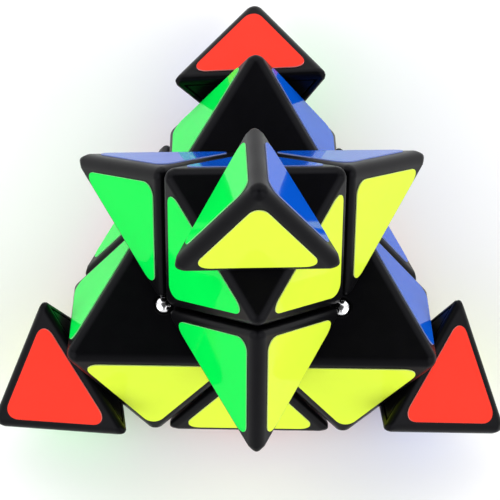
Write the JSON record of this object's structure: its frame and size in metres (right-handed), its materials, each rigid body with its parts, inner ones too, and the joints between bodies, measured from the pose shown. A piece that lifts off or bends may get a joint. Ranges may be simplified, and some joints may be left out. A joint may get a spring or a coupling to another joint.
{
  "type": "pyramid twisty puzzle",
  "caption": "Pyramid-shaped twisty puzzle with turning corner layers and tips on a sprung ball-detent core, stored part way through a turn.",
  "frame": {"origin": "centre of the core, which is also the centre of the pyramid", "axes": "+Z along the axis of the top corner, whose layer is the turned one; +Y towards the rear corner; the outer face under the pyramid looks along -Z"},
  "size_m": [0.0926, 0.0887, 0.0831],
  "materials": {
    "core": "satin black moulded plastic",
    "axial_rear": "gloss black moulded plastic with softly rounded edges",
    "axial_left": "gloss black moulded plastic with softly rounded edges",
    "axial_right": "gloss black moulded plastic with softly rounded edges",
    "edge_green_red": "gloss black moulded plastic with softly rounded edges",
    "edge_blue_red": "gloss black moulded plastic with softly rounded edges",
    "edge_yellow_red": "gloss black moulded plastic with softly rounded edges",
    "screw_top": "bright zinc plate",
    "screw_rear": "bright zinc plate",
    "screw_left": "bright zinc plate",
    "screw_right": "bright zinc plate",
    "washer_top": "bright zinc plate",
    "washer_rear": "bright zinc plate",
    "washer_left": "bright zinc plate",
    "washer_right": "bright zinc plate",
    "tension_spring_top": "drawn steel wire",
    "tension_spring_rear": "drawn steel wire",
    "tension_spring_left": "drawn steel wire",
    "tension_spring_right": "drawn steel wire",
    "ball_spring_rear_top": "drawn steel wire",
    "ball_spring_rear_left": "drawn steel wire",
    "ball_spring_rear_right": "drawn steel wire",
    "ball_spring_left_top": "drawn steel wire",
    "ball_spring_left_rear": "drawn steel wire",
    "ball_spring_left_right": "drawn steel wire",
    "ball_spring_right_top": "drawn steel wire",
    "ball_spring_right_rear": "drawn steel wire",
    "ball_spring_right_left": "drawn steel wire",
    "axial_top": "gloss black moulded plastic with softly rounded edges",
    "edge_green_blue": "gloss black moulded plastic with softly rounded edges",
    "edge_green_yellow": "gloss black moulded plastic with softly rounded edges",
    "edge_blue_yellow": "gloss black moulded plastic with softly rounded edges",
    "ball_spring_top_rear": "drawn steel wire",
    "ball_spring_top_left": "drawn steel wire",
    "ball_spring_top_right": "drawn steel wire",
    "tip_top": "gloss black moulded plastic with softly rounded edges",
    "tip_base_top": "gloss black moulded plastic with softly rounded edges",
    "tip_rear": "gloss black moulded plastic with softly rounded edges",
    "tip_base_rear": "gloss black moulded plastic with softly rounded edges",
    "tip_left": "gloss black moulded plastic with softly rounded edges",
    "tip_base_left": "gloss black moulded plastic with softly rounded edges",
    "tip_right": "gloss black moulded plastic with softly rounded edges",
    "tip_base_right": "gloss black moulded plastic with softly rounded edges",
    "ball_top_rear": "polished steel ball",
    "ball_top_left": "polished steel ball",
    "ball_top_right": "polished steel ball",
    "ball_rear_top": "polished steel ball",
    "ball_rear_left": "polished steel ball",
    "ball_rear_right": "polished steel ball",
    "ball_left_top": "polished steel ball",
    "ball_left_rear": "polished steel ball",
    "ball_left_right": "polished steel ball",
    "ball_right_top": "polished steel ball",
    "ball_right_rear": "polished steel ball",
    "ball_right_left": "polished steel ball",
    "sticker_green": "glossy coloured sticker film",
    "sticker_blue": "glossy coloured sticker film",
    "sticker_yellow": "glossy coloured sticker film",
    "sticker_red": "glossy coloured sticker film"
  },
  "bodies": {
    "base": {"core": "core", "axial_rear": "axial_rear", "axial_left": "axial_left", "axial_right": "axial_right", "edge_green_red": "edge_green_red", "edge_blue_red": "edge_blue_red", "edge_yellow_red": "edge_yellow_red", "screw_top": "screw_top", "screw_rear": "screw_rear", "screw_left": "screw_left", "screw_right": "screw_right", "washer_top": "washer_top", "washer_rear": "washer_rear", "washer_left": "washer_left", "washer_right": "washer_right", "tension_spring_top": "tension_spring_top", "tension_spring_rear": "tension_spring_rear", "tension_spring_left": "tension_spring_left", "tension_spring_right": "tension_spring_right", "ball_spring_rear_top": "ball_spring_rear_top", "ball_spring_rear_left": "ball_spring_rear_left", "ball_spring_rear_right": "ball_spring_rear_right", "ball_spring_left_top": "ball_spring_left_top", "ball_spring_left_rear": "ball_spring_left_rear", "ball_spring_left_right": "ball_spring_left_right", "ball_spring_right_top": "ball_spring_right_top", "ball_spring_right_rear": "ball_spring_right_rear", "ball_spring_right_left": "ball_spring_right_left"},
    "top_layer": {"axial_top": "axial_top", "edge_green_blue": "edge_green_blue", "edge_green_yellow": "edge_green_yellow", "edge_blue_yellow": "edge_blue_yellow", "ball_spring_top_rear": "ball_spring_top_rear", "ball_spring_top_left": "ball_spring_top_left", "ball_spring_top_right": "ball_spring_top_right"},
    "tip_top": {"tip_top": "tip_top", "tip_base_top": "tip_base_top"},
    "tip_rear": {"tip_rear": "tip_rear", "tip_base_rear": "tip_base_rear"},
    "tip_left": {"tip_left": "tip_left", "tip_base_left": "tip_base_left"},
    "tip_right": {"tip_right": "tip_right", "tip_base_right": "tip_base_right"},
    "ball_top_rear": {"ball_top_rear": "ball_top_rear"},
    "ball_top_left": {"ball_top_left": "ball_top_left"},
    "ball_top_right": {"ball_top_right": "ball_top_right"},
    "ball_rear_top": {"ball_rear_top": "ball_rear_top"},
    "ball_rear_left": {"ball_rear_left": "ball_rear_left"},
    "ball_rear_right": {"ball_rear_right": "ball_rear_right"},
    "ball_left_top": {"ball_left_top": "ball_left_top"},
    "ball_left_rear": {"ball_left_rear": "ball_left_rear"},
    "ball_left_right": {"ball_left_right": "ball_left_right"},
    "ball_right_top": {"ball_right_top": "ball_right_top"},
    "ball_right_rear": {"ball_right_rear": "ball_right_rear"},
    "ball_right_left": {"ball_right_left": "ball_right_left"}
  },
  "joints": [
    {"name": "top_layer_turn", "type": "hinge", "parent": "base", "child": "top_layer", "pos_m": [0, 0, 0], "axis": [0, 0, 1], "continuous": true},
    {"name": "tip_top_turn", "type": "hinge", "parent": "top_layer", "child": "tip_top", "pos_m": [0, 0, 0], "axis": [0, 0, 1], "continuous": true},
    {"name": "tip_rear_turn", "type": "hinge", "parent": "base", "child": "tip_rear", "pos_m": [0, 0, 0], "axis": [0, 0.9428, -0.3333], "continuous": true},
    {"name": "tip_left_turn", "type": "hinge", "parent": "base", "child": "tip_left", "pos_m": [0, 0, 0], "axis": [-0.8165, -0.4714, -0.3333], "continuous": true},
    {"name": "tip_right_turn", "type": "hinge", "parent": "base", "child": "tip_right", "pos_m": [0, 0, 0], "axis": [0.8165, -0.4714, -0.3333], "continuous": true},
    {"name": "ball_top_rear_press", "type": "slide", "parent": "top_layer", "child": "ball_top_rear", "axis": [-0.8293, 0.4484, -0.3333], "range_m": [-0.0004, 0], "stiffness_N_per_m": 600, "springref_m": 0.001},
    {"name": "ball_top_left_press", "type": "slide", "parent": "top_layer", "child": "ball_top_left", "axis": [0.0263, -0.9424, -0.3333], "range_m": [-0.0004, 0], "stiffness_N_per_m": 600, "springref_m": 0.001},
    {"name": "ball_top_right_press", "type": "slide", "parent": "top_layer", "child": "ball_top_right", "axis": [0.803, 0.494, -0.3333], "range_m": [-0.0004, 0], "stiffness_N_per_m": 600, "springref_m": 0.001},
    {"name": "ball_rear_top_press", "type": "slide", "parent": "base", "child": "ball_rear_top", "axis": [0, 0, 1], "range_m": [-0.0004, 0], "stiffness_N_per_m": 600, "springref_m": 0.001},
    {"name": "ball_rear_left_press", "type": "slide", "parent": "base", "child": "ball_rear_left", "axis": [-0.8165, -0.4714, -0.3333], "range_m": [-0.0004, 0], "stiffness_N_per_m": 600, "springref_m": 0.001},
    {"name": "ball_rear_right_press", "type": "slide", "parent": "base", "child": "ball_rear_right", "axis": [0.8165, -0.4714, -0.3333], "range_m": [-0.0004, 0], "stiffness_N_per_m": 600, "springref_m": 0.001},
    {"name": "ball_left_top_press", "type": "slide", "parent": "base", "child": "ball_left_top", "axis": [0, 0, 1], "range_m": [-0.0004, 0], "stiffness_N_per_m": 600, "springref_m": 0.001},
    {"name": "ball_left_rear_press", "type": "slide", "parent": "base", "child": "ball_left_rear", "axis": [0, 0.9428, -0.3333], "range_m": [-0.0004, 0], "stiffness_N_per_m": 600, "springref_m": 0.001},
    {"name": "ball_left_right_press", "type": "slide", "parent": "base", "child": "ball_left_right", "axis": [0.8165, -0.4714, -0.3333], "range_m": [-0.0004, 0], "stiffness_N_per_m": 600, "springref_m": 0.001},
    {"name": "ball_right_top_press", "type": "slide", "parent": "base", "child": "ball_right_top", "axis": [0, 0, 1], "range_m": [-0.0004, 0], "stiffness_N_per_m": 600, "springref_m": 0.001},
    {"name": "ball_right_rear_press", "type": "slide", "parent": "base", "child": "ball_right_rear", "axis": [0, 0.9428, -0.3333], "range_m": [-0.0004, 0], "stiffness_N_per_m": 600, "springref_m": 0.001},
    {"name": "ball_right_left_press", "type": "slide", "parent": "base", "child": "ball_right_left", "axis": [-0.8165, -0.4714, -0.3333], "range_m": [-0.0004, 0], "stiffness_N_per_m": 600, "springref_m": 0.001}
  ]
}
